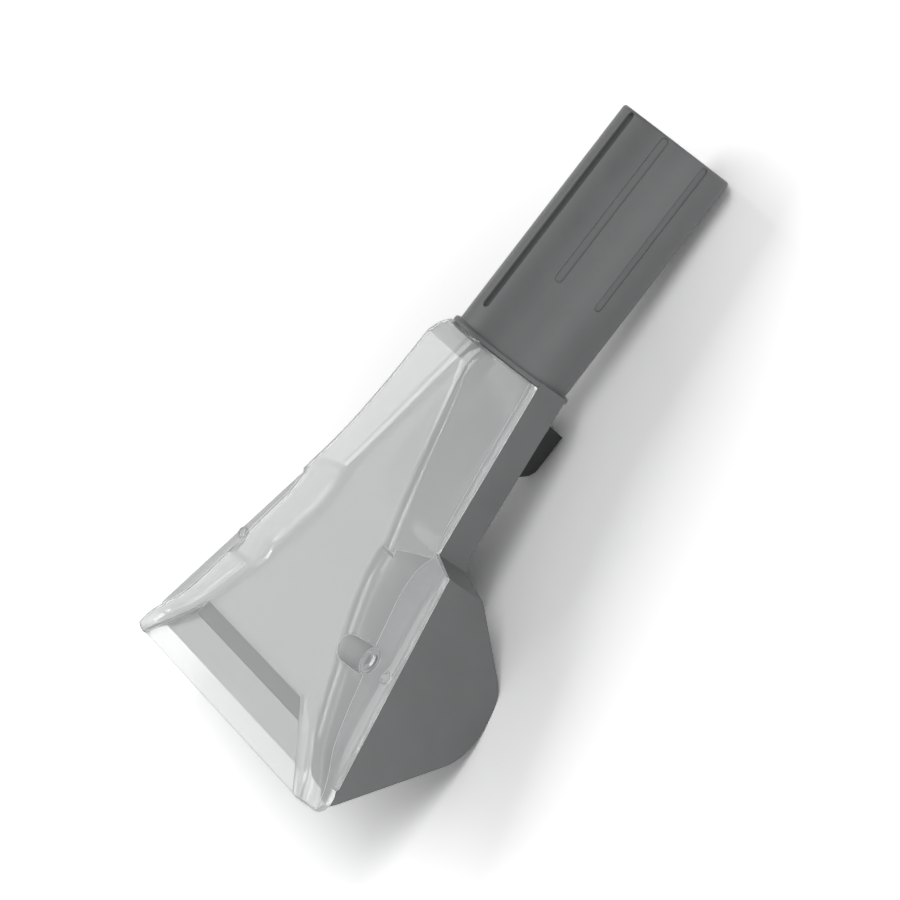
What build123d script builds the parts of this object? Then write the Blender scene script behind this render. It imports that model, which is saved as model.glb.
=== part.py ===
from build123d import *
import os
from math import acos, atan2, cos, hypot, radians, sin, tan

os.makedirs("parts", exist_ok=True)

# Upholstery nozzle of a spray-extraction vacuum cleaner, lying on its back.
# Stations run along the tube axis from the collar: positive towards the hose, negative towards the lip.
# Depths are measured behind the tube axis and heights in front of it.

# Tube socket and collar
tube_od = 40.0
tube_bore = 35.0
tube_length = 82.0
tube_end_radius = 1.0
collar_od = 43.0
collar_thickness = 1.7
collar_edge = 0.8

# Grip grooves along the tube
groove_rim = 0.8
front_groove_width = 3.4
front_groove_depth = 1.4
front_groove_end = 7.5
side_groove_angles = [-90, -45, 45, 90]
side_groove_width = 2.6
side_groove_depth = 0.6
side_groove_end = 27.0

# Front outline of housing and cover: half-widths at their stations
neck_half_width = 21.4
shoulder_station = -59.4
shoulder_inner = 34.0
shoulder_outer = 45.9
shoulder_drop = 3.1
lip_station = -140.8
lip_half_width = 69.4
lip_corner_radius = 5.0

# Side outline of the housing
seam_height = 1.0
neck_depth = 10.3
neck_waist_depth = 9.3
hood_start_station = -58.3
hood_slope = 41.8
hood_depth = 36.6
hood_top_share = 0.29
hood_waist_radius = 14.0
hood_heel_share = 0.49
mouth_slope = 42.0
mouth_station = -135.7

# Rounded back of the neck, from the collar down into the hood
crown_depth = 21.5
crown_facet_half = 10.0
crown_facet_depth = 17.9
crown_end_station = -70.0
crown_end_depth = 18.5
crown_end_facet_half = 15.0
crown_end_facet_depth = 16.5

# Walls of the housing
housing_wall = 2.2
floor_thickness = 2.2
channel_wall = 2.0
channel_width = 11.0
channel_margin = 1.0
mouth_rim = 9.6
rim_straight = 0.5

# Clear duct cover: station, half-width of its foot, half-width and height of its front
cover_gap = 0.3
cover_wall = 1.6
flange_thickness = 2.0
duct_neck_sections = [
    (-14.0, 22.7, 15.9, 22.3),
    (-44.0, 30.2, 23.3, 18.2),
    (-58.7, 33.8, 28.2, 17.0),
]
duct_body_sections = [
    (-68.8, 31.5, 30.9, 16.2),
    (-84.0, 34.4, 33.0, 15.1),
    (-102.7, 41.8, 41.2, 12.6),
    (-120.0, 50.1, 49.5, 10.2),
]
duct_top_section = (19.7, 13.0, 22.8)
duct_lip_section = (66.4, 64.8, 7.8)
front_edge_radius = 4.0
top_chamfer = 4.0

# Duct floor behind the seam, and the trough that leads the tube's bore into it
bore_end = -4.0
trough_start_half = 15.2
trough_start_depth = 17.0
trough_end = -59.0
trough_end_half = 22.5
duct_floor_depth = 0.5

# Stepped pocket in the cover's front above the lip
pocket_station = -118.3
pocket_half = 35.0
pocket_front_height = 10.2
pocket_step_length = 6.2
pocket_floor_height = 6.8
pocket_lip_height = 6.2
pocket_lip_half = 60.0

# Locating pegs of the cover
peg_x = 42.0
peg_station = -96.7
peg_radius = 2.6
peg_head_height = 1.8
peg_length = 5.0
peg_ring_radius = 4.3
peg_ring_height = 0.6
peg_clearance = 0.15
peg_scallop_radius = 6.5
peg_boss_wall = 1.8

# Spray coupling on the neck's back
coupling_top_station = -10.6
coupling_length = 19.0
coupling_slant = 4.4
coupling_half_width = 8.5
coupling_seat_depth = 21.3
coupling_depth = 27.6
coupling_wall = 1.0
coupling_floor = 0.4
coupling_edge = 0.8
coupling_corner = 2.0
socket_length = 11.0
nipple_od = 2.6
nipple_recess = 1.5
spray_bore = 1.4
leg_station = -23.3
leg_half_width = 4.0
leg_length = 5.5
leg_foot = 2.0
leg_clearance = 0.2
barb_length = 5.0

# Spray pipe
pipe_od = 4.4
pipe_bore = 3.0
pipe_top_depth = 15.2
pipe_straight = 9.0
pipe_bend_radius = 6.0
pipe_lead = 7.0
pipe_clearance = 0.05
pipe_gap = 0.3

# Jet and its holder, measured along the jet's axis from the pipe's end
jet_depth = 10.0
jet_station = -76.0
holder_barb_length = 3.0
holder_flange_od = 13.0
holder_flange_thickness = 2.5
holder_od = 9.6
holder_length = 12.0
bracket_thickness = 3.0
bracket_half_width = 12.0
bracket_margin = 8.5
bracket_rib = 2.0
bracket_rib_length = 10.0
bracket_hole_clearance = 0.2
holder_bore = 4.0
washer_thickness = 1.0
jet_flange_thickness = 1.5
jet_tip_od = 6.0
jet_tip_length = 3.0
jet_slot_width = 0.8
jet_slot_depth = 1.2
nut_width = 14.0
nut_lip = 1.4
nut_clearance = 0.15

side_reach = 2 * lip_half_width
deep = 2 * hood_depth
front_reach = 2 * tube_od

# The housing's side outline, worked out from its slopes
hood_rise = tan(radians(hood_slope))
mouth_rise = tan(radians(mouth_slope))
hood_top_station = hood_start_station - (hood_depth - neck_waist_depth) * hood_rise
heel_station = mouth_station + hood_depth * mouth_rise
hood_back_length = hood_top_station - heel_station
heel_tangent = hood_heel_share * hood_back_length
hood_heel_radius = heel_tangent / tan(radians(90 - mouth_slope) / 2)
hood_top_radius = hood_top_share * hood_back_length / tan(radians(90 - hood_slope) / 2)

# The nozzle lies on the heel of its hood and on the back of the tube's end
heel_to_tube_depth = (tube_od / 2 - tube_end_radius) - (hood_depth - hood_heel_radius)
heel_to_tube_station = (tube_length - tube_end_radius) - (heel_station + heel_tangent)
heel_to_tube = hypot(heel_to_tube_depth, heel_to_tube_station)
rest_tilt = atan2(heel_to_tube_station, heel_to_tube_depth) - acos(
    (hood_heel_radius - tube_end_radius) / heel_to_tube
)

# The origin is the middle of the tube's open end
tube_direction = Vector(0, cos(rest_tilt), -sin(rest_tilt))
front_direction = Vector(0, sin(rest_tilt), cos(rest_tilt))
collar_centre = tube_direction * -tube_length
axis_plane = Plane(origin=collar_centre, x_dir=(1, 0, 0), z_dir=front_direction)
seam = axis_plane.offset(seam_height)
side_plane = Plane(origin=collar_centre, x_dir=-front_direction, z_dir=(1, 0, 0))
cover_top_station = -collar_thickness - cover_gap

# The jet's axis stands square to the mouth
jet_sine = sin(radians(mouth_slope))
jet_cosine = cos(radians(mouth_slope))
jet_direction = -front_direction * jet_sine - tube_direction * jet_cosine
bracket_start = pipe_gap + holder_flange_thickness
bracket_end = bracket_start + bracket_thickness
bracket_root = (jet_depth + bracket_end * jet_sine - duct_floor_depth - floor_thickness) / jet_cosine
holder_end = bracket_start + holder_length
jet_start = holder_end + washer_thickness
nut_lip_start = jet_start + jet_flange_thickness


def across(station):
    """Plane across the tube axis at a station, facing the hose, with its y towards the back."""
    return Plane(origin=collar_centre + tube_direction * station, x_dir=(1, 0, 0), z_dir=tube_direction)


def side_offset(x):
    """The side plane moved off the middle."""
    return Plane(origin=side_plane.origin + Vector(x, 0, 0), x_dir=side_plane.x_dir, z_dir=side_plane.z_dir)


def jet_point(reach, aside):
    """Depth and station of a point on the jet's axis, or aside from it towards the duct floor."""
    depth = jet_depth + reach * jet_sine - aside * jet_cosine
    station = jet_station - reach * jet_cosine - aside * jet_sine
    return (depth, station)


def across_jet(reach):
    """Plane across the jet's axis, with its y towards the duct floor."""
    depth, station = jet_point(reach, 0)
    origin = collar_centre - front_direction * depth + tube_direction * station
    return Plane(origin=origin, x_dir=(1, 0, 0), z_dir=jet_direction)


def mirrored(points):
    """Closed outline from the points of its right half, listed from hose to lip."""
    return [(-x, y) for x, y in points] + points[::-1]


def corner(sketch, x, y):
    """The sketch's vertex nearest a place."""
    return sketch.vertices().sort_by_distance((x, y))[0]


def corner_pair(sketch, x, y):
    """The vertices nearest a place and its mirror image."""
    return [corner(sketch, x, y), corner(sketch, -x, y)]


def side_block(depths, stations):
    """Corner points of a rectangle on the side plane."""
    near, far = depths
    top, bottom = stations
    return [(near, top), (near, bottom), (far, bottom), (far, top)]


def neck_half_at(station):
    """Half-width of the neck's outline at a station."""
    return neck_half_width + (shoulder_inner - neck_half_width) * station / shoulder_station


def crown_at(station):
    """Depth of the neck's crowned back at a station."""
    return crown_depth + (crown_end_depth - crown_depth) * station / crown_end_station


def trough_at(station):
    """Depth of the trough's floor in the neck at a station."""
    return trough_start_depth * (station - trough_end) / (-collar_thickness - trough_end)


def front_outline(plane, top_station, inset=0.0):
    """Front outline of the housing from a station down to the lip, moved inwards by the inset."""
    with BuildSketch(plane) as outline:
        points = [
            (neck_half_at(top_station), top_station),
            (shoulder_inner, shoulder_station),
            (shoulder_outer, shoulder_station - shoulder_drop),
            (lip_half_width, lip_station),
        ]
        Polygon(*mirrored(points), align=None)
        fillet(corner_pair(outline, lip_half_width, lip_station), lip_corner_radius)
        if inset:
            offset(amount=-inset, kind=Kind.INTERSECTION)
    return outline.sketch


def duct_section(station, foot, front_half, front_height, inset):
    """Section across the duct: leaning sides and a flat front with round edges."""
    lean = atan2(foot - front_half, front_height - seam_height)
    wall_across = inset / cos(lean)
    front_x = front_half + inset * tan(lean) - wall_across
    with BuildSketch(across(station)) as section:
        right_side = [(foot - wall_across, -seam_height), (front_x, inset - front_height)]
        Polygon(*mirrored(right_side), align=None)
        fillet(corner_pair(section, front_x, inset - front_height), front_edge_radius - inset)
    return section.sketch


def duct_form(inset):
    """Solid of the duct in front of the seam: its outside, or with the wall as inset its air space."""
    top = cover_top_station - inset
    lip = lip_station - inset
    neck = [(top, *duct_top_section), *duct_neck_sections]
    body = [duct_neck_sections[-1], *duct_body_sections, (lip, *duct_lip_section)]
    with BuildPart() as form:
        loft([duct_section(*place, inset) for place in neck])
        loft([duct_section(*place, inset) for place in body])
        chamfer_height = duct_top_section[-1] - inset
        with BuildSketch(side_plane):
            Polygon(
                (-front_reach, top),
                (-front_reach, top - top_chamfer),
                (-chamfer_height, top - top_chamfer),
                (top_chamfer - chamfer_height, top),
                align=None,
            )
        extrude(amount=side_reach, both=True, mode=Mode.SUBTRACT)
        with BuildSketch(seam):
            with Locations((-peg_x, peg_station), (peg_x, peg_station)):
                Circle(peg_scallop_radius + inset)
        extrude(amount=front_reach, mode=Mode.SUBTRACT)
    return form.part


def duct_floor(plane):
    """Outline of the duct's air space at the seam."""
    neck = [(cover_top_station, *duct_top_section), *duct_neck_sections]
    body = [duct_neck_sections[-1], *duct_body_sections, (lip_station, *duct_lip_section)]
    neck_side = [(place[1] - cover_wall, place[0]) for place in neck]
    body_side = [(place[1] - cover_wall, place[0]) for place in body]
    with BuildSketch(plane) as outline:
        with BuildLine():
            for side in (-1, 1):
                Polyline(*[(side * x, y) for x, y in neck_side])
                Spline(*[(side * x, y) for x, y in body_side])
            for x, y in (neck_side[0], body_side[-1]):
                Line((-x, y), (x, y))
        make_face()
    return outline.sketch


def pocket_form(inset):
    """Space of the stepped pocket in the cover's front, grown by the inset for its inner face."""
    start = pocket_station + inset
    step = pocket_station - pocket_step_length
    end = lip_station - cover_wall - inset
    with BuildPart() as pocket:
        with BuildSketch(seam):
            Polygon(*mirrored([(pocket_half + inset, start), (pocket_lip_half + inset, end)]), align=None)
        extrude(amount=front_reach)
        with BuildSketch(side_plane):
            Polygon(
                (-front_reach, start),
                (inset - pocket_front_height, start),
                (inset - pocket_floor_height, step),
                (inset - pocket_lip_height, end),
                (-front_reach, end),
                align=None,
            )
        extrude(amount=side_reach, both=True, mode=Mode.INTERSECT)
    return pocket.part


def neck_section(station, facet_half, facet_depth):
    """Section of the neck: flat sides, slanted facets and a round back."""
    half = neck_half_at(station)
    depth = neck_depth + (neck_waist_depth - neck_depth) * station / hood_start_station
    with BuildSketch(across(station)) as section:
        with BuildLine():
            ThreePointArc((facet_half, facet_depth), (0, crown_at(station)), (-facet_half, facet_depth))
            Polyline((-facet_half, facet_depth), (-half, depth), (-half, 0))
            Polyline((-half, 0), (half, 0), (half, depth), (facet_half, facet_depth))
        make_face()
    return section.sketch


def trough_section(station, half):
    """Section of the air space behind the seam: a round floor under a flat top."""
    edge = -seam_height
    top = -2 * seam_height
    with BuildSketch(across(station)) as section:
        with BuildLine():
            ThreePointArc((half, edge), (0, trough_at(station)), (-half, edge))
            Polyline((-half, edge), (-half, top), (half, top), (half, edge))
        make_face()
    return section.sketch


def groove(angle, width, depth, end):
    """Cutter for one grip groove, round at both ends, at an angle from the front."""
    turn = radians(angle)
    outwards = front_direction * cos(turn) + Vector(sin(turn), 0, 0)
    sideways = Vector(cos(turn), 0, 0) - front_direction * sin(turn)
    start = tube_length - groove_rim
    middle = (start + end) / 2
    with BuildPart() as cutter:
        origin = collar_centre + outwards * (tube_od / 2 - depth) + tube_direction * middle
        with BuildSketch(Plane(origin=origin, x_dir=sideways, z_dir=outwards)):
            SlotOverall(start - end, width, rotation=90)
        extrude(amount=2 * depth)
    return cutter.part


# Space inside the hood, open at the mouth
floor_back = duct_floor_depth + floor_thickness
inner_waist_depth = neck_waist_depth - housing_wall * sin(radians(hood_slope))
inner_waist_station = hood_start_station - housing_wall * cos(radians(hood_slope))
inner_depth = hood_depth - housing_wall
inner_top_station = inner_waist_station - (inner_depth - inner_waist_depth) * hood_rise
inner_mouth_station = mouth_station + housing_wall / jet_cosine
rim_depth = hood_depth - mouth_rim
rim_station = inner_mouth_station + rim_depth * mouth_rise
rim_length = (inner_depth - rim_depth) / jet_cosine
rim_limit = (rim_length - rim_straight) / tan(radians(90 - mouth_slope) / 2)
inner_heel_radius = min(hood_heel_radius - housing_wall, rim_limit)
with BuildPart() as hood_space:
    with BuildSketch(side_plane) as space_side:
        Polygon(
            (floor_back, inner_waist_station),
            (floor_back, lip_station),
            (rim_depth + deep * jet_sine, rim_station - deep * jet_cosine),
            (rim_depth, rim_station),
            (inner_depth, inner_mouth_station + inner_depth * mouth_rise),
            (inner_depth, inner_top_station),
            (inner_waist_depth, inner_waist_station),
            align=None,
        )
        fillet(corner(space_side, inner_depth, inner_top_station), hood_top_radius - housing_wall)
        heel_corner = corner(space_side, inner_depth, inner_mouth_station + inner_depth * mouth_rise)
        fillet(heel_corner, inner_heel_radius)
    extrude(amount=side_reach, both=True)
    extrude(front_outline(seam, 0, housing_wall), amount=-deep, mode=Mode.INTERSECT)

# Space for the spray pipe between the trough and the neck's back, with the window for the coupling's leg
channel_top = leg_station + channel_margin
channel_end = inner_waist_station - floor_thickness
with BuildPart() as pipe_space:
    with BuildSketch(side_plane):
        Polygon(
            (trough_at(channel_top) + channel_wall, channel_top),
            (floor_back, channel_end),
            (crown_at(channel_end) - housing_wall, channel_end),
            (crown_at(channel_top) - housing_wall, channel_top),
            align=None,
        )
    extrude(amount=channel_width / 2, both=True)
    with BuildSketch(side_plane):
        window_stations = (leg_station + leg_clearance, leg_station - leg_length - leg_clearance)
        Polygon(*side_block((pipe_top_depth, deep), window_stations), align=None)
    extrude(amount=leg_half_width + leg_clearance, both=True)

with BuildPart() as housing:
    # Body behind the seam: its side outline cut to the front outline
    with BuildSketch(side_plane) as housing_side:
        Polygon(
            (-seam_height, 0),
            (-seam_height, mouth_station - seam_height * mouth_rise),
            (hood_depth, heel_station),
            (hood_depth, hood_top_station),
            (neck_waist_depth, hood_start_station),
            (neck_depth, 0),
            align=None,
        )
        fillet(corner(housing_side, neck_waist_depth, hood_start_station), hood_waist_radius)
        fillet(corner(housing_side, hood_depth, hood_top_station), hood_top_radius)
        fillet(corner(housing_side, hood_depth, heel_station), hood_heel_radius)
    extrude(amount=side_reach, both=True)
    extrude(front_outline(seam, 0), amount=-deep, mode=Mode.INTERSECT)

    # Crowned back of the neck, running out into the hood
    crown_sections = [
        neck_section(0, crown_facet_half, crown_facet_depth),
        neck_section(crown_end_station, crown_end_facet_half, crown_end_facet_depth),
    ]
    loft(crown_sections, ruled=True)

    # Flat seat for the spray coupling
    seat_stations = (coupling_top_station, coupling_top_station - coupling_length)
    with BuildSketch(side_plane):
        Polygon(*side_block((neck_depth, coupling_seat_depth), seat_stations), align=None)
    extrude(amount=coupling_half_width, both=True)

    # Collar and tube
    with BuildSketch(side_plane) as tube_half:
        Polygon(
            (0, -collar_thickness),
            (collar_od / 2, -collar_thickness),
            (collar_od / 2, 0),
            (tube_od / 2, 0),
            (tube_od / 2, tube_length),
            (0, tube_length),
            align=None,
        )
        fillet(corner(tube_half, collar_od / 2, 0), collar_edge)
        fillet(corner(tube_half, tube_od / 2, tube_length), tube_end_radius)
    revolve(axis=Axis(collar_centre, tube_direction))

    # Grip grooves
    add(groove(0, front_groove_width, front_groove_depth, front_groove_end), mode=Mode.SUBTRACT)
    for side_angle in side_groove_angles:
        side_groove = groove(side_angle, side_groove_width, side_groove_depth, side_groove_end)
        add(side_groove, mode=Mode.SUBTRACT)

    # Hollow hood and pipe channel
    add(hood_space.part, mode=Mode.SUBTRACT)
    add(pipe_space.part, mode=Mode.SUBTRACT)

    # Bosses that take the cover's pegs
    with BuildSketch(axis_plane):
        with Locations((-peg_x, peg_station), (peg_x, peg_station)):
            Circle(peg_radius + peg_clearance + peg_boss_wall)
    extrude(amount=-(peg_length + peg_boss_wall))
    with BuildSketch(seam):
        with Locations((-peg_x, peg_station), (peg_x, peg_station)):
            Circle(peg_radius + peg_clearance)
    extrude(amount=-(peg_length + peg_clearance), mode=Mode.SUBTRACT)

    # Bracket for the jet holder, with a rib on each side
    with BuildSketch(across_jet(bracket_start)):
        bracket_corners = [(bracket_half_width, bracket_root), (bracket_half_width, -bracket_margin)]
        Polygon(*mirrored(bracket_corners), align=None)
    extrude(amount=bracket_thickness)
    rib_foot_depth, rib_foot_station = jet_point(bracket_end, bracket_root)
    for rib_x in (-bracket_half_width + bracket_rib / 2, bracket_half_width - bracket_rib / 2):
        with BuildSketch(side_offset(rib_x)):
            Polygon(
                jet_point(bracket_start, 0),
                (rib_foot_depth, rib_foot_station - bracket_rib_length),
                jet_point(bracket_start, bracket_root),
                align=None,
            )
        extrude(amount=bracket_rib / 2, both=True)
    with BuildSketch(across_jet(bracket_start)):
        Circle(holder_od / 2 + bracket_hole_clearance)
    extrude(amount=bracket_thickness, mode=Mode.SUBTRACT)

    # Tube bore, running out into the trough of the duct
    with BuildSketch(across(bore_end)):
        Circle(tube_bore / 2)
    extrude(amount=tube_length - bore_end, mode=Mode.SUBTRACT)
    trough_start = trough_section(-collar_thickness, trough_start_half)
    loft([trough_start, trough_section(trough_end, trough_end_half)], ruled=True, mode=Mode.SUBTRACT)

    # Duct floor, sunk below the seam
    floor_plane = axis_plane.offset(-duct_floor_depth)
    extrude(duct_floor(floor_plane), amount=front_reach, mode=Mode.SUBTRACT)

cover_outside = duct_form(0)
cover_inside = duct_form(cover_wall)
pocket_outside = pocket_form(0)
pocket_inside = pocket_form(cover_wall)
with BuildPart() as cover_air:
    add(cover_inside)
    add(pocket_inside, mode=Mode.SUBTRACT)

with BuildPart() as duct_cover:
    add(cover_outside)
    add(pocket_outside, mode=Mode.SUBTRACT)
    extrude(front_outline(seam, cover_top_station), amount=front_reach, mode=Mode.INTERSECT)
    extrude(front_outline(seam, cover_top_station), amount=flange_thickness)
    add(cover_air.part, mode=Mode.SUBTRACT)

    # Opening towards the tube
    with BuildSketch(across(0)):
        Circle(tube_bore / 2)
    extrude(amount=cover_top_station - 2 * cover_wall, mode=Mode.SUBTRACT)

    # Pegs with their rings
    with BuildSketch(seam.offset(flange_thickness)):
        with Locations((-peg_x, peg_station), (peg_x, peg_station)):
            Circle(peg_ring_radius)
    extrude(amount=peg_ring_height)
    with BuildSketch(seam.offset(-peg_length)):
        with Locations((-peg_x, peg_station), (peg_x, peg_station)):
            Circle(peg_radius)
    extrude(amount=peg_length + flange_thickness + peg_head_height)

coupling_end_station = coupling_top_station - coupling_length
socket_end_station = coupling_top_station - socket_length
nipple_depth = (coupling_seat_depth + coupling_floor + coupling_depth - coupling_wall) / 2
leg_middle = leg_station - leg_length / 2
leg_end = leg_station - leg_length
barb_radius = pipe_bore / 2 - pipe_clearance
with BuildPart() as spray_coupling:
    with BuildSketch(side_plane) as coupling_side:
        Polygon(
            (coupling_seat_depth, coupling_top_station),
            (coupling_seat_depth, coupling_end_station),
            (coupling_depth, coupling_end_station + coupling_slant),
            (coupling_depth, coupling_top_station),
            align=None,
        )
        chamfer(corner(coupling_side, coupling_depth, coupling_end_station + coupling_slant), coupling_corner)
    extrude(amount=coupling_half_width, both=True)
    long_edges = spray_coupling.edges().filter_by(Axis(collar_centre, tube_direction))
    fillet(long_edges.sort_by(Axis(collar_centre, front_direction))[:2], coupling_edge)
    with BuildSketch(side_plane):
        socket_depths = (coupling_seat_depth + coupling_floor, coupling_depth - coupling_wall)
        Polygon(*side_block(socket_depths, (0, socket_end_station)), align=None)
    extrude(amount=coupling_half_width - coupling_wall, both=True, mode=Mode.SUBTRACT)

    # Nipple, leg and barb with the water way through them
    with BuildSketch(across(socket_end_station)):
        with Locations((0, nipple_depth)):
            Circle(nipple_od / 2)
    extrude(amount=socket_length - nipple_recess)
    with BuildSketch(side_plane):
        leg_depths = (pipe_top_depth - leg_foot, coupling_seat_depth + coupling_floor)
        Polygon(*side_block(leg_depths, (leg_station, leg_end)), align=None)
    extrude(amount=leg_half_width, both=True)
    with BuildSketch(across(leg_end)):
        with Locations((0, pipe_top_depth)):
            Circle(barb_radius)
    extrude(amount=-barb_length)
    with BuildSketch(across(leg_middle)):
        with Locations((0, nipple_depth)):
            Circle(spray_bore / 2)
    extrude(amount=-leg_middle, mode=Mode.SUBTRACT)
    with BuildSketch(across(leg_middle)):
        with Locations((0, pipe_top_depth)):
            Circle(spray_bore / 2)
    extrude(amount=-leg_length - barb_length, mode=Mode.SUBTRACT)
    with BuildSketch(axis_plane.offset(-nipple_depth)):
        with Locations((0, leg_middle)):
            Circle(spray_bore / 2)
    extrude(amount=nipple_depth - pipe_top_depth, mode=Mode.SUBTRACT)

with BuildPart() as spray_pipe:
    pipe_top = leg_end - pipe_gap
    with BuildLine(side_plane) as pipe_route:
        FilletPolyline(
            (pipe_top_depth, pipe_top),
            (pipe_top_depth, pipe_top - pipe_straight),
            jet_point(-pipe_lead, 0),
            jet_point(0, 0),
            radius=pipe_bend_radius,
        )
    with BuildSketch(across(pipe_top)):
        with Locations((0, pipe_top_depth)):
            Circle(pipe_od / 2)
            Circle(pipe_bore / 2, mode=Mode.SUBTRACT)
    sweep(path=pipe_route.line)

with BuildPart() as jet_holder:
    with BuildSketch(across_jet(pipe_gap)):
        Circle(holder_flange_od / 2)
    extrude(amount=holder_flange_thickness)
    with BuildSketch(across_jet(bracket_start)):
        Circle(holder_od / 2)
    extrude(amount=holder_length)
    with BuildSketch(across_jet(-holder_barb_length)):
        Circle(barb_radius)
    extrude(amount=holder_barb_length + pipe_gap)
    with BuildSketch(across_jet(-holder_barb_length)):
        Circle(spray_bore / 2)
    extrude(amount=holder_barb_length + holder_end, mode=Mode.SUBTRACT)

with BuildPart() as jet_washer:
    with BuildSketch(across_jet(holder_end)):
        Circle(holder_od / 2)
        Circle(holder_bore / 2, mode=Mode.SUBTRACT)
    extrude(amount=washer_thickness)

with BuildPart() as spray_jet:
    with BuildSketch(across_jet(jet_start)):
        Circle(holder_od / 2)
    extrude(amount=jet_flange_thickness)
    with BuildSketch(across_jet(nut_lip_start)):
        Circle(jet_tip_od / 2)
    extrude(amount=nut_lip + jet_tip_length)
    with BuildSketch(across_jet(jet_start)):
        Circle(spray_bore / 2)
    extrude(amount=jet_flange_thickness + nut_lip + jet_tip_length, mode=Mode.SUBTRACT)
    with BuildSketch(across_jet(nut_lip_start + nut_lip + jet_tip_length)):
        Rectangle(2 * jet_tip_od, jet_slot_width)
    extrude(amount=-jet_slot_depth, mode=Mode.SUBTRACT)

with BuildPart() as jet_nut:
    with BuildSketch(across_jet(bracket_end)):
        RegularPolygon(nut_width / 2, 6, major_radius=False)
    extrude(amount=nut_lip_start + nut_lip - bracket_end)
    with BuildSketch(across_jet(bracket_end)):
        Circle(holder_od / 2 + nut_clearance)
    extrude(amount=nut_lip_start - bracket_end, mode=Mode.SUBTRACT)
    with BuildSketch(across_jet(nut_lip_start)):
        Circle(jet_tip_od / 2 + nut_clearance)
    extrude(amount=nut_lip, mode=Mode.SUBTRACT)

nodes = {
    "housing": housing,
    "duct_cover": duct_cover,
    "spray_coupling": spray_coupling,
    "spray_pipe": spray_pipe,
    "jet_holder": jet_holder,
    "jet_washer": jet_washer,
    "spray_jet": spray_jet,
    "jet_nut": jet_nut,
}
for node_name, node in nodes.items():
    node.part.label = node_name
    export_step(node.part, f"parts/{node_name}.step")
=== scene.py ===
import math

import bmesh
import bpy
from mathutils import Matrix, Vector


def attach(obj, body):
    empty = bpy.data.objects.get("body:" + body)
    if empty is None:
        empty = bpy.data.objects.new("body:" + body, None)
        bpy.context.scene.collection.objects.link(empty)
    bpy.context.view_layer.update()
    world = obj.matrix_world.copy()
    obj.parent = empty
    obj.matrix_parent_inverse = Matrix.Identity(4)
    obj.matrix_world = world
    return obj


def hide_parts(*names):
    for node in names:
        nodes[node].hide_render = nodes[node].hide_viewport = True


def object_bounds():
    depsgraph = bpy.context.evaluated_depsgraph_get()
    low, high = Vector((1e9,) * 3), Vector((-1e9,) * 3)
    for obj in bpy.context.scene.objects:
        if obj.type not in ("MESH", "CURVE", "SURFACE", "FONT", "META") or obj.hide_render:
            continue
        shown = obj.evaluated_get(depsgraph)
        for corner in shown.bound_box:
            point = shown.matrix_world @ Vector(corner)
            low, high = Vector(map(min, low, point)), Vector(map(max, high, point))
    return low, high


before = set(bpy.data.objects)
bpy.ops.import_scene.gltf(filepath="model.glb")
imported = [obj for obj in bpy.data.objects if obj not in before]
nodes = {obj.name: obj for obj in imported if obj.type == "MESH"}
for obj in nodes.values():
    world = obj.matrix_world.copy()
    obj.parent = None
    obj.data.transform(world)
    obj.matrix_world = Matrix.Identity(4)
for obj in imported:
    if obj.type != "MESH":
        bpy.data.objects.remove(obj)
cad_box = [list(corner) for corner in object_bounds()]
scene = bpy.context.scene

# The nozzle's own axes in the shared frame: the tube runs along TUBE, the cover faces FRONT
MM = 0.001
REST_TILT = math.radians(5.4835)
TUBE_LENGTH = 0.082
TUBE = Vector((0, math.cos(REST_TILT), -math.sin(REST_TILT)))
FRONT = Vector((0, math.sin(REST_TILT), math.cos(REST_TILT)))
COLLAR = TUBE * -TUBE_LENGTH

# Camera fitted to matched edges: its turn, its shift in mm, and its focal length in picture widths
CAMERA_TURN = Vector((1.135105, 1.181865, -0.2287767))
CAMERA_SHIFT = Vector((19.12831, -28.28179, 1776.41353))
FOCAL_WIDTHS = 5826.8534 / 900
SENSOR_WIDTH = 36.0


def place(x, height, station):
    """Point from its distance across, height before the tube axis and station along it, in mm."""
    return COLLAR + Vector((x, 0, 0)) * MM + FRONT * height * MM + TUBE * station * MM


def add_camera():
    """The camera at the photograph's viewing angle."""
    data = bpy.data.cameras.new("photo_camera")
    camera = bpy.data.objects.new("photo_camera", data)
    scene.collection.objects.link(camera)
    scene.camera = camera
    nozzle_axes = Matrix(((1, 0, 0), -FRONT, TUBE)).transposed()
    from_camera = Matrix.Rotation(CAMERA_TURN.length, 3, CAMERA_TURN.normalized()).transposed()
    right, down, ahead = (nozzle_axes @ from_camera).col
    turned = Matrix((right, -down, -ahead)).transposed().to_4x4()
    eye = COLLAR + nozzle_axes @ (from_camera @ -CAMERA_SHIFT) * MM
    camera.matrix_world = Matrix.Translation(eye) @ turned
    data.sensor_width = SENSOR_WIDTH
    data.lens = FOCAL_WIDTHS * SENSOR_WIDTH
    data.clip_start = 0.05
    data.clip_end = 20.0


add_camera()


# Building blocks of the materials
def new_material(name):
    """An empty material, its node tree and its output."""
    material = bpy.data.materials.new(name)
    material.use_nodes = True
    tree = material.node_tree
    tree.nodes.clear()
    return material, tree, tree.nodes.new("ShaderNodeOutputMaterial")


def link(tree, source, target):
    tree.links.new(source, target)


def node(tree, kind, inputs=None, **settings):
    """A new node with its settings and the plain values of its inputs."""
    made = tree.nodes.new(kind)
    for name, value in settings.items():
        setattr(made, name, value)
    for name, value in (inputs or {}).items():
        made.inputs[name].default_value = value
    return made


def object_noise(tree, **inputs):
    """Cloudy pattern that is fixed to the piece."""
    coordinates = node(tree, "ShaderNodeTexCoord")
    noise = node(tree, "ShaderNodeTexNoise", inputs)
    link(tree, coordinates.outputs["Object"], noise.inputs["Vector"])
    return noise


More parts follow.
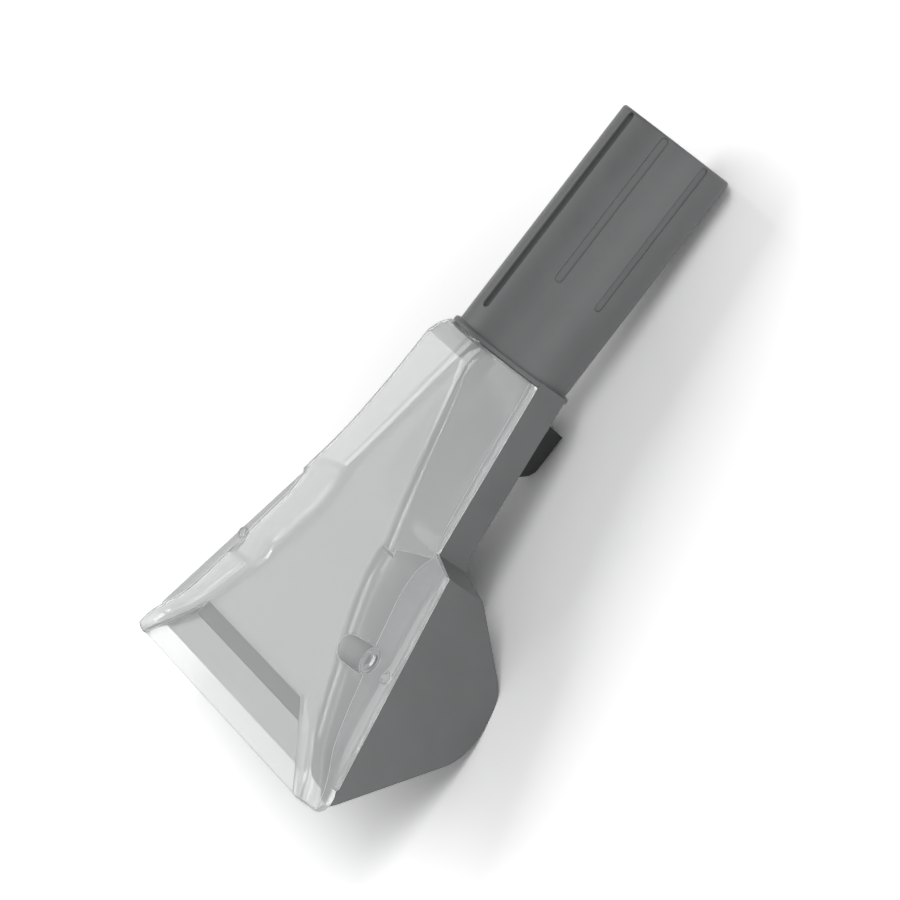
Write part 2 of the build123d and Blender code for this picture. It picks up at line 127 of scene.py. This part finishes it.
def ranged(tree, value, low, high, start=0.0, end=1.0):
    """The value carried from the range start to end into the range low to high."""
    carried = node(tree, "ShaderNodeMapRange", {
        "From Min": start, "From Max": end, "To Min": low, "To Max": high,
    })
    link(tree, value, carried.inputs["Value"])
    return carried.outputs["Result"]


def any_of(tree, *values):
    """One where any of the values is one."""
    result = values[0]
    for value in values[1:]:
        larger = node(tree, "ShaderNodeMath", operation="MAXIMUM")
        link(tree, result, larger.inputs[0])
        link(tree, value, larger.inputs[1])
        result = larger.outputs[0]
    return result


def bumped(tree, pattern, normal, distance=0.0):
    """The normal, disturbed by a pattern of this height in metres."""
    bump = node(tree, "ShaderNodeBump", {"Distance": distance})
    link(tree, pattern, bump.inputs["Height"])
    link(tree, normal, bump.inputs["Normal"])
    return bump


def moulded_surface_group():
    """Moulded plastic: fine grain, faint flow marks and softened edges."""
    group = bpy.data.node_groups.new("moulded_surface", "ShaderNodeTree")
    face = group.interface
    for name, kind, value in (
        ("Grain Size", "NodeSocketFloat", 2600.0),
        ("Grain Height", "NodeSocketFloat", 0.00002),
        ("Edge Radius", "NodeSocketFloat", 0.0004),
        ("Roughness", "NodeSocketFloat", 0.42),
        ("Roughness Spread", "NodeSocketFloat", 0.12),
        ("Light", "NodeSocketColor", (0.2, 0.2, 0.2, 1)),
        ("Dark", "NodeSocketColor", (0.16, 0.16, 0.16, 1)),
    ):
        socket = face.new_socket(name=name, in_out="INPUT", socket_type=kind)
        socket.default_value = value
    for name, kind in (("Color", "Color"), ("Roughness", "Float"), ("Normal", "Vector")):
        face.new_socket(name=name, in_out="OUTPUT", socket_type="NodeSocket" + kind)
    entry = node(group, "NodeGroupInput").outputs
    leave = node(group, "NodeGroupOutput").inputs

    clouds = object_noise(group, Scale=26.0, Detail=5.0, Roughness=0.62)
    flow_marks = ranged(group, clouds.outputs["Fac"], 0.0, 1.0, 0.35, 0.68)
    tint = node(group, "ShaderNodeMix", data_type="RGBA")
    link(group, flow_marks, tint.inputs[0])
    link(group, entry["Dark"], tint.inputs[6])
    link(group, entry["Light"], tint.inputs[7])
    link(group, tint.outputs[2], leave["Color"])

    centred = node(group, "ShaderNodeMath", {1: 0.5}, operation="SUBTRACT")
    link(group, flow_marks, centred.inputs[0])
    scaled = node(group, "ShaderNodeMath", operation="MULTIPLY_ADD")
    link(group, centred.outputs[0], scaled.inputs[0])
    link(group, entry["Roughness Spread"], scaled.inputs[1])
    link(group, entry["Roughness"], scaled.inputs[2])
    link(group, scaled.outputs[0], leave["Roughness"])

    grain = object_noise(group, Detail=3.0)
    link(group, entry["Grain Size"], grain.inputs["Scale"])
    rounded = node(group, "ShaderNodeBevel", samples=6)
    link(group, entry["Edge Radius"], rounded.inputs["Radius"])
    grained = bumped(group, grain.outputs["Fac"], rounded.outputs["Normal"])
    link(group, entry["Grain Height"], grained.inputs["Distance"])
    link(group, grained.outputs["Normal"], leave["Normal"])
    return group


MOULDED = moulded_surface_group()


def moulded_plastic(name, light, dark, roughness, grain_height=0.00002):
    """Opaque plastic or rubber with a moulded surface."""
    material, tree, output = new_material(name)
    shader = node(tree, "ShaderNodeBsdfPrincipled", {"IOR": 1.5})
    surface = node(tree, "ShaderNodeGroup", node_tree=MOULDED)
    surface.inputs["Light"].default_value = (*light, 1)
    surface.inputs["Dark"].default_value = (*dark, 1)
    surface.inputs["Roughness"].default_value = roughness
    surface.inputs["Grain Height"].default_value = grain_height
    link(tree, surface.outputs["Color"], shader.inputs["Base Color"])
    link(tree, surface.outputs["Roughness"], shader.inputs["Roughness"])
    link(tree, surface.outputs["Normal"], shader.inputs["Normal"])
    link(tree, shader.outputs[0], output.inputs["Surface"])
    return material


def clear_plastic(name):
    """Clear moulding: polished and slightly wavy, with a faint haze, and white mixed into its rounded
    edges as a painted highlight.
    """
    material, tree, output = new_material(name)
    ripple = object_noise(tree, Scale=90.0, Detail=2.0)
    rounded = node(tree, "ShaderNodeBevel", {"Radius": 0.0004}, samples=16)
    wave = bumped(tree, ripple.outputs["Fac"], rounded.outputs["Normal"], 0.000012)
    glass = node(tree, "ShaderNodeBsdfPrincipled", {
        "Base Color": (0.97, 0.975, 0.975, 1), "Metallic": 0.0, "Transmission Weight": 1.0, "IOR": 1.49,
    })
    link(tree, wave.outputs["Normal"], glass.inputs["Normal"])
    link(tree, ranged(tree, ripple.outputs["Fac"], 0.015, 0.06), glass.inputs["Roughness"])

    facing = node(tree, "ShaderNodeLayerWeight", {"Blend": 0.35})
    geometry = node(tree, "ShaderNodeNewGeometry")
    straightness = node(tree, "ShaderNodeVectorMath", operation="DOT_PRODUCT")
    link(tree, rounded.outputs["Normal"], straightness.inputs[0])
    link(tree, geometry.outputs["Normal"], straightness.inputs[1])
    # Haze by facing, plus extra white along the rounded edges: a painted highlight standing in for
    # their glints
    haze_and_edge_highlight = node(tree, "ShaderNodeMath", operation="ADD", use_clamp=True)
    link(tree, ranged(tree, facing.outputs["Facing"], 0.3, 0.22), haze_and_edge_highlight.inputs[0])
    edge_highlight = ranged(tree, straightness.outputs["Value"], 0.0, 0.6, 0.995, 0.9)
    link(tree, edge_highlight, haze_and_edge_highlight.inputs[1])
    haze = node(tree, "ShaderNodeBsdfDiffuse", {"Color": (0.93, 0.94, 0.94, 1)})
    link(tree, wave.outputs["Normal"], haze.inputs["Normal"])
    hazy = node(tree, "ShaderNodeMixShader")
    link(tree, haze_and_edge_highlight.outputs[0], hazy.inputs["Fac"])
    link(tree, glass.outputs[0], hazy.inputs[1])
    link(tree, haze.outputs[0], hazy.inputs[2])

    # Light passes straight through on its way to the pieces behind
    path = node(tree, "ShaderNodeLightPath").outputs
    through = node(tree, "ShaderNodeBsdfTransparent", {"Color": (0.93, 0.94, 0.94, 1)})
    lit = node(tree, "ShaderNodeMixShader")
    link(tree, any_of(tree, path["Is Shadow Ray"], path["Is Diffuse Ray"]), lit.inputs["Fac"])
    link(tree, hazy.outputs[0], lit.inputs[1])
    link(tree, through.outputs[0], lit.inputs[2])
    link(tree, lit.outputs[0], output.inputs["Surface"])
    return material


def turned_metal(name, light, dark, roughness):
    """Turned metal: fine rings and a little tarnish."""
    material, tree, output = new_material(name)
    shader = node(tree, "ShaderNodeBsdfPrincipled", {"Metallic": 1.0})
    tarnish = object_noise(tree, Scale=320.0, Detail=4.0).outputs["Fac"]
    tint = node(tree, "ShaderNodeMix", {6: (*dark, 1), 7: (*light, 1)}, data_type="RGBA")
    link(tree, tarnish, tint.inputs[0])
    link(tree, tint.outputs[2], shader.inputs["Base Color"])
    worn = ranged(tree, tarnish, roughness - 0.08, roughness + 0.12)
    link(tree, worn, shader.inputs["Roughness"])

    coordinates = node(tree, "ShaderNodeTexCoord")
    stretch = node(tree, "ShaderNodeMapping", {"Scale": (300.0, 5200.0, 5200.0)})
    rings = node(tree, "ShaderNodeTexNoise", {"Scale": 1.0})
    link(tree, coordinates.outputs["Object"], stretch.inputs["Vector"])
    link(tree, stretch.outputs["Vector"], rings.inputs["Vector"])
    rounded = node(tree, "ShaderNodeBevel", {"Radius": 0.0003}, samples=6)
    grooved = bumped(tree, rings.outputs["Fac"], rounded.outputs["Normal"], 0.00001)
    link(tree, grooved.outputs["Normal"], shader.inputs["Normal"])
    link(tree, shader.outputs[0], output.inputs["Surface"])
    return material


GREY = moulded_plastic("grey_moulded", (0.185, 0.188, 0.191), (0.158, 0.160, 0.163), 0.5, 0.000003)
BLACK = moulded_plastic("black_moulded", (0.022, 0.022, 0.024), (0.014, 0.014, 0.015), 0.38)
TUBE_BLACK = moulded_plastic("black_extruded", (0.03, 0.03, 0.03), (0.02, 0.02, 0.02), 0.3, 0.00001)
RUBBER = moulded_plastic("seal_rubber", (0.03, 0.03, 0.03), (0.02, 0.02, 0.02), 0.75, 0.00003)
CLEAR = clear_plastic("clear_moulded")
BRASS = turned_metal("brass", (0.80, 0.62, 0.34), (0.62, 0.45, 0.22), 0.28)
STEEL = turned_metal("steel", (0.62, 0.62, 0.63), (0.45, 0.45, 0.46), 0.26)

FINISH = {
    "housing": GREY,
    "duct_cover": CLEAR,
    "spray_coupling": BLACK,
    "spray_pipe": TUBE_BLACK,
    "jet_holder": BRASS,
    "jet_washer": RUBBER,
    "spray_jet": STEEL,
    "jet_nut": BRASS,
}
for name, material in FINISH.items():
    nodes[name].material_slots[0].material = material


# Clear cover, in mm. Stations run down from the collar, and heights stand in front of the tube axis
WALL = 1.6
SEAM = 1.05
FLANGE_TOP = 3.0
RIM_RADIUS = 0.5
EDGE_RADIUS = 5.0
COVER_TOP = -2.0
LIP = -140.8
SHOULDER = (-59.4, -62.5)
BORE = 17.5
BODY_DRAFT = math.tan(math.radians(5.0))

# Half-widths at stations: the flange's outline, the neck wall at its foot and its front, the body wall
OUTLINE = [(0.0, 21.4), (-59.4, 34.0), (-62.5, 45.9), (-140.8, 69.4)]
NECK_FOOT = [(0.0, 19.7), (-56.0, 32.9), (-60.6, 35.8), (-72.0, 41.0), (-100.0, 62.0)]
NECK_FRONT = [
    (0.0, 12.5), (-14.0, 15.9), (-44.0, 23.4), (-58.7, 28.2), (-67.0, 31.3), (-76.0, 36.5),
    (-100.0, 56.0),
]
BODY_FOOT = [
    (-57.0, 48.0), (-59.0, 40.0), (-60.6, 36.2), (-64.3, 33.5), (-68.6, 32.5), (-76.1, 33.4),
    (-83.5, 36.0), (-91.6, 39.2), (-102.1, 43.9), (-111.7, 48.1), (-122.8, 54.0), (-130.1, 60.6),
    (-135.5, 64.4), (-143.0, 66.6),
]
POCKET_HALF = [(-118.3, 35.0), (-142.4, 60.0)]
LIP_CORNER = (62.68, -135.8, 5.0)

# Heights at stations: the front, its rounded end at the collar, and the pocket above the lip
FRONT_HEIGHT = [
    (2.0, 24.2), (-9.0, 22.6), (-26.0, 20.2), (-44.0, 18.2), (-68.0, 16.2), (-85.0, 15.0),
    (-102.0, 12.6), (-118.3, 10.3), (-130.0, 8.8), (-143.0, 7.6),
]
END_ROUND = [(-2.0, 18.0), (-2.6, 18.9), (-3.6, 20.1), (-5.4, 21.4), (-7.0, 22.1), (-9.0, 22.6)]
POCKET = [(-118.3, 10.2), (-124.5, 6.8), (-142.4, 6.2)]

# Locating pegs in their wells, and the small lugs beside them
PEG = (42.0, -96.7)
PEG_RADIUS = 2.6
PEG_TOP = 4.8
PEG_BOTTOM = -4.0
PEG_RING = 4.3
PEG_RING_TOP = 3.6
WELL_RADIUS = 4.7
LUG = (53.6, -96.9)
LUG_RADIUS = 2.1
LUG_TOP = 3.7
LUG_HOLLOW = 3.3
DETAIL_EDGE = 0.3
DETAIL_ROOT = 2.0

# Fineness of the mesh, and the small distances that keep its faces apart
STATION_STEP = 1.25
STATION_GAP = 0.03
RIM_STEPS = 8
WALL_STEPS = 5
ARC_STEPS = 10
SHELF_STEPS = 3
FRONT_STEPS = 6
WELL_STEPS = 48
CORNER_STEPS = 12
TURN_STEPS = 56
SLOPE_STEP = 0.5
FOOT_GAP = 0.05
POCKET_GAP = 0.3
SAME_POINT = 2e-6
NO_LENGTH = 1e-6
SHARP_ANGLE = math.radians(13)


def straight(table, station):
    """Value at a station on straight runs between the table's places."""
    for (start, first), (end, last) in zip(table, table[1:]):
        if station >= end:
            break
    return first + (last - first) * (station - start) / (end - start)


def smooth(table, station):
    """Value at a station on a smooth curve through the table's places."""
    last = len(table) - 2
    if not table[-1][0] <= station <= table[0][0]:
        return straight(table, station)
    i = next((k for k in range(last) if station >= table[k + 1][0]), last)
    before, after = table[max(i - 1, 0)], table[min(i + 2, len(table) - 1)]
    (x0, y0), (x1, y1) = table[i], table[i + 1]
    slope0 = (y1 - before[1]) / (x1 - before[0])
    slope1 = (after[1] - y0) / (after[0] - x0)
    width = x1 - x0
    t = (station - x0) / width
    return (
        y0 * (1 + 2 * t) * (1 - t) ** 2 + width * slope0 * t * (1 - t) ** 2
        + y1 * t * t * (3 - 2 * t) + width * slope1 * t * t * (t - 1)
    )


def outline_half(station):
    """Half-width of the flange, with its round corner at the lip."""
    centre_x, centre_station, radius = LIP_CORNER
    half = straight(OUTLINE, station)
    if station < centre_station + radius:
        reach = radius ** 2 - (station - centre_station) ** 2
        half = min(half, centre_x + math.sqrt(max(reach, 0.0)))
    return half


def front_height(station, inset):
    """Height of the front, moved in by the inset."""
    height = smooth(FRONT_HEIGHT, station)
    if station > END_ROUND[-1][0]:
        height = smooth(END_ROUND, min(station, COVER_TOP))
    return height - inset


def pocket_height(station, inset):
    """Height of the front in the middle, where the pocket above the lip is sunk into it."""
    full = front_height(station, inset)
    pocket_top = POCKET[0][0]
    sunk = straight(POCKET, min(station - inset, pocket_top)) - inset
    return min(full, sunk) if station - inset < pocket_top else full


def well_limit(station, inset):
    """How far out the wall may reach beside the peg's well."""
    reach = (WELL_RADIUS + inset) ** 2 - (station - PEG[1]) ** 2
    return PEG[0] - math.sqrt(reach) if reach > 0 else math.inf


def wall_lines(station, inset):
    """Foot and lean of the neck wall, and foot of the body wall, moved in by the inset."""
    neck_foot = smooth(NECK_FOOT, station)
    neck_lean = (smooth(NECK_FRONT, station) - neck_foot) / (smooth(FRONT_HEIGHT, station) - SEAM)
    body_foot = smooth(BODY_FOOT, station) + BODY_DRAFT * (FLANGE_TOP - SEAM)
    return (
        neck_foot - inset * math.hypot(1, neck_lean), neck_lean,
        body_foot - inset * math.hypot(1, BODY_DRAFT),
    )


def wall_profile(station, inset, foot):
    """The section's wall, round edge and front, from the foot's height to the middle."""
    height = front_height(station, inset)
    neck_foot, neck_lean, body_foot = wall_lines(station, inset)
    outline_limit = outline_half(station) - inset - FOOT_GAP

    def half_at(level):
        neck = neck_foot + neck_lean * (level - SEAM)
        body = body_foot - BODY_DRAFT * (level - SEAM)
        return min(neck, body, outline_limit)

    # The round edge starts below the corner where its arc touches the wall
    radius = EDGE_RADIUS - inset
    corner = half_at(height)
    lean = (corner - half_at(height - SLOPE_STEP)) / SLOPE_STEP
    turn = math.pi / 2 + math.atan(-lean)
    setback = radius / math.tan(turn / 2)
    arc_start = height - setback / math.hypot(1, lean)
    crease = (neck_foot - body_foot) / (-BODY_DRAFT - neck_lean) + SEAM
    crease = min(max(crease, foot), arc_start)
    levels = [foot + (crease - foot) * k / WALL_STEPS for k in range(WALL_STEPS)]
    levels += [crease + (arc_start - crease) * k / WALL_STEPS for k in range(WALL_STEPS)]
    points = [(half_at(level), level) for level in levels]
    sweep = math.pi - turn
    for k in range(ARC_STEPS + 1):
        angle = (math.pi / 2 - sweep) + sweep * k / ARC_STEPS
        points.append((
            corner - setback + radius * math.cos(angle), height - radius + radius * math.sin(angle),
        ))

    # The front runs to the pocket's side, steps down into it and goes on to the middle
    edge = points[-1][0]
    step = min(straight(POCKET_HALF, min(station, POCKET[0][0])) + inset, edge - POCKET_GAP)
    sunk = pocket_height(station, inset)
    points += [
        (edge + (step - edge) * k / SHELF_STEPS, height) for k in range(1, SHELF_STEPS + 1)
    ]
    points += [(step * (1 - k / FRONT_STEPS), sunk) for k in range(FRONT_STEPS + 1)]
    limit = well_limit(station, inset)
    return [(min(x, limit), level) for x, level in points]


def flange_rim(outline, foot):
    """The flange's edge with its rounding, made smaller where the wall leaves little room for it."""
    radius = min(RIM_RADIUS, (outline - foot) / 1.2)
    strip = 1.15 * radius
    rim = [(outline, SEAM), (outline, FLANGE_TOP - strip)]
    for k in range(RIM_STEPS + 1):
        turn = math.pi / 2 * k / RIM_STEPS
        rim.append((
            outline - radius * (1 - math.cos(turn)), FLANGE_TOP - radius * (1 - math.sin(turn)),
        ))
    return rim + [(outline - strip, FLANGE_TOP)]


def bore_arch(count):
    """Round inside of the cover's end, which continues the tube's bore."""
    start = math.asin(SEAM / BORE)
    angles = [start + (math.pi / 2 - start) * k / (count - 1) for k in range(count)]
    return [(BORE * math.cos(angle), BORE * math.sin(angle)) for angle in angles]


def cover_section(station, open_end):
    """Both outlines of the right half's material, outside and inside, from the seam to the middle."""
    wall = wall_profile(station, 0.0, FLANGE_TOP)
    outside = flange_rim(outline_half(station), wall[0][0]) + wall
    inside = wall_profile(station, WALL, SEAM)
    return outside, bore_arch(len(inside)) if open_end else inside


def cover_stations():
    """The sections' stations from the collar down, closer together round the peg and the corner."""
    fixed = [COVER_TOP, -9.0, *SHOULDER, -60.6, -67.0, POCKET[0][0] + WALL, POCKET[0][0]]
    fixed += [POCKET[1][0] + WALL, POCKET[1][0], LIP] + [station for station, _ in END_ROUND]
    stations = set(fixed)
    count = int((COVER_TOP - LIP) / STATION_STEP)
    stations.update(COVER_TOP + (LIP - COVER_TOP) * k / count for k in range(count + 1))
    for reach in (WELL_RADIUS, WELL_RADIUS + WALL):
        for k in range(WELL_STEPS + 1):
            stations.add(PEG[1] + reach * math.sin(math.pi * (k / WELL_STEPS - 0.5)))
    for k in range(CORNER_STEPS + 1):
        stations.add(LIP_CORNER[1] - LIP_CORNER[2] * math.sin(math.pi / 2 * k / CORNER_STEPS))
    ordered = []
    for station in sorted(stations, reverse=True):
        if not ordered or ordered[-1] - station > STATION_GAP or station in fixed:
            ordered.append(station)
    return ordered


def build_cover_shell():
    """The cover without its pegs: sections joined from the collar to the lip, closed at both ends."""
    bore_end = COVER_TOP - WALL
    rows = []
    for station in cover_stations():
        if station < bore_end and rows[-1][0] > bore_end:
            rows.append((bore_end, *cover_section(bore_end, True)))
            rows.append((bore_end, *cover_section(bore_end, False)))
        if station != bore_end:
            rows.append((station, *cover_section(station, station > bore_end)))
    shape = bmesh.new()
    chains = []
    for station, *halves in rows:
        pair = []
        for half in halves:
            both = half + [(-x, height) for x, height in half[-2::-1]]
            pair.append([shape.verts.new(place(x, height, station)) for x, height in both])
        chains.append(pair)
    for (outer, inner), (next_outer, next_inner) in zip(chains, chains[1:]):
        upper, lower = outer + inner[::-1], next_outer + next_inner[::-1]
        for k, vertex in enumerate(upper):
            shape.faces.new((vertex, upper[k - 1], lower[k - 1], lower[k]))
    for outer, inner in (chains[0], chains[-1]):
        rim = (len(outer) - len(inner)) // 2
        shape.faces.new((*outer[:rim + 1], inner[0]))
        shape.faces.new((*outer[-rim - 1:], inner[-1]))
        for k in range(len(inner) - 1):
            shape.faces.new((outer[k + rim], outer[k + rim + 1], inner[k + 1], inner[k]))
    bmesh.ops.remove_doubles(shape, verts=shape.verts, dist=SAME_POINT)
    bmesh.ops.dissolve_degenerate(shape, edges=shape.edges, dist=NO_LENGTH)
    bmesh.ops.recalc_face_normals(shape, faces=shape.faces)
    return shape


def spin_detail(shape, x, station, profile):
    """A round detail of the cover, spun from its radii and heights about its own axis."""
    verts = [shape.verts.new(place(x + radius, height, station)) for radius, height in profile]
    edges = [shape.edges.new(pair) for pair in zip(verts, verts[1:])]
    bmesh.ops.spin(
        shape, geom=verts + edges, cent=place(x, 0, station), axis=FRONT, angle=2 * math.pi,
        steps=TURN_STEPS, use_merge=True,
    )


def build_details():
    """The locating pegs with their rings, and the small hollow lugs beside them."""
    edge = DETAIL_EDGE
    shape = bmesh.new()
    for side in (-1, 1):
        spin_detail(shape, side * PEG[0], PEG[1], [
            (0.0, PEG_BOTTOM), (PEG_RADIUS - edge, PEG_BOTTOM), (PEG_RADIUS, PEG_BOTTOM + edge),
            (PEG_RADIUS, DETAIL_ROOT), (PEG_RING, DETAIL_ROOT), (PEG_RING, PEG_RING_TOP - edge),
            (PEG_RING - edge, PEG_RING_TOP), (PEG_RADIUS, PEG_RING_TOP),
            (PEG_RADIUS, PEG_TOP - edge), (PEG_RADIUS - edge, PEG_TOP), (0.0, PEG_TOP),
        ])
        spin_detail(shape, side * LUG[0], LUG[1], [
            (0.0, DETAIL_ROOT), (LUG_RADIUS, DETAIL_ROOT), (LUG_RADIUS, LUG_TOP - edge),
            (LUG_RADIUS - edge, LUG_TOP), (LUG_RADIUS - 2 * edge, LUG_TOP),
            (LUG_RADIUS - 3 * edge, LUG_HOLLOW), (0.0, LUG_HOLLOW),
        ])
    bmesh.ops.remove_doubles(shape, verts=shape.verts, dist=SAME_POINT)
    bmesh.ops.recalc_face_normals(shape, faces=shape.faces)
    return shape


def new_piece(name, shape, material):
    """An object at the origin from a finished shape."""
    mesh = bpy.data.meshes.new(name)
    shape.to_mesh(mesh)
    shape.free()
    mesh.materials.append(material)
    piece = bpy.data.objects.new(name, mesh)
    scene.collection.objects.link(piece)
    return piece


def build_cover():
    """The clear cover in one piece with its pegs and lugs."""
    cover = new_piece("clear_cover", build_cover_shell(), CLEAR)
    details = new_piece("cover_details", build_details(), CLEAR)
    join = cover.modifiers.new("details", "BOOLEAN")
    join.operation = "UNION"
    join.solver = "EXACT"
    join.object = details
    whole = cover.evaluated_get(bpy.context.evaluated_depsgraph_get())
    mesh = bpy.data.meshes.new_from_object(whole)
    cover.modifiers.clear()
    cover.data = mesh
    bpy.data.objects.remove(details)
    mesh.shade_smooth()
    mesh.set_sharp_from_angle(angle=SHARP_ANGLE)
    return cover


clear_cover = build_cover()
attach(clear_cover, "root")
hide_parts("duct_cover")


# Floor and soft studio light. The floor is shown darker near the object, a painted shade that deepens
# its shadow, and paler far off
FLOOR_SIZE = 8.0
FLOOR_SHIFT = -0.1
FLOOR_LIT = 0.82
FLOOR_SHADED_NEAR = (0.06, 1.45)
FLOOR_FAR = (0.24, 2.4)
UNDER_OBJECT = (0, -0.11, cad_box[0][2])
AMBIENT = 0.18


def floor_colour(tree):
    """The floor's colour, paler to the rays that show it, and darker near the object as painted shade
    around its shadow.
    """
    coordinates = node(tree, "ShaderNodeTexCoord")
    distance = node(tree, "ShaderNodeVectorMath", {1: UNDER_OBJECT}, operation="DISTANCE")
    link(tree, coordinates.outputs["Object"], distance.inputs[0])
    (start, near), (end, far) = FLOOR_SHADED_NEAR, FLOOR_FAR
    # Darker close to the object: painted shade that deepens its shadow on the floor
    seen_with_painted_shade = ranged(tree, distance.outputs["Value"], near, far, start, end)
    path = node(tree, "ShaderNodeLightPath").outputs
    shown = any_of(tree, path["Is Camera Ray"], path["Is Glossy Ray"], path["Is Transmission Ray"])
    colour = node(tree, "ShaderNodeMix", {6: (FLOOR_LIT,) * 3 + (1,)}, data_type="RGBA")
    link(tree, shown, colour.inputs[0])
    link(tree, seen_with_painted_shade, colour.inputs[7])
    return colour.outputs[2]


def add_floor():
    bpy.ops.mesh.primitive_plane_add(size=FLOOR_SIZE, location=(0, 0, 0))
    floor = bpy.context.active_object
    floor.name = "floor"
    floor.data.transform(Matrix.Translation((0, FLOOR_SHIFT, cad_box[0][2])))
    material, tree, output = new_material("pale_floor")
    shader = node(tree, "ShaderNodeBsdfDiffuse")
    link(tree, floor_colour(tree), shader.inputs["Color"])
    link(tree, shader.outputs[0], output.inputs["Surface"])
    floor.data.materials.append(material)


def add_world():
    """White to the camera, and a dim even light on the object."""
    world = bpy.data.worlds.new("studio")
    scene.world = world
    world.use_nodes = True
    tree = world.node_tree
    tree.nodes.clear()
    path = node(tree, "ShaderNodeLightPath")
    strength = node(tree, "ShaderNodeMath", {1: 1 - AMBIENT, 2: AMBIENT}, operation="MULTIPLY_ADD")
    sky = node(tree, "ShaderNodeBackground", {"Color": (1, 1, 1, 1)})
    output = node(tree, "ShaderNodeOutputWorld")
    link(tree, path.outputs["Is Camera Ray"], strength.inputs[0])
    link(tree, strength.outputs[0], sky.inputs["Strength"])
    link(tree, sky.outputs[0], output.inputs["Surface"])


def add_softbox(name, position, size, power):
    """A rectangular lamp that faces the middle of the cover."""
    data = bpy.data.lights.new(name, "AREA")
    data.shape = "RECTANGLE"
    data.size, data.size_y = size
    data.energy = power
    lamp = bpy.data.objects.new(name, data)
    scene.collection.objects.link(lamp)
    lamp.location = position
    aim = place(0, 0, -60) - Vector(position)
    lamp.rotation_euler = aim.to_track_quat("-Z", "Y").to_euler()


add_floor()
add_world()
add_softbox("key_light", (-1.82, -0.4, 1.54), (1.6, 1.6), 19.5)
add_softbox("soft_light", (0.85, 0.6, 1.3), (0.7, 0.9), 5.5)
add_softbox("edge_light", (0.83, 0.38, 1.29), (1.2, 0.05), 3.0)
add_softbox("fill_light", (1.5, -0.5, 0.25), (1.4, 0.5), 6.5)

scene.view_settings.view_transform = "Standard"
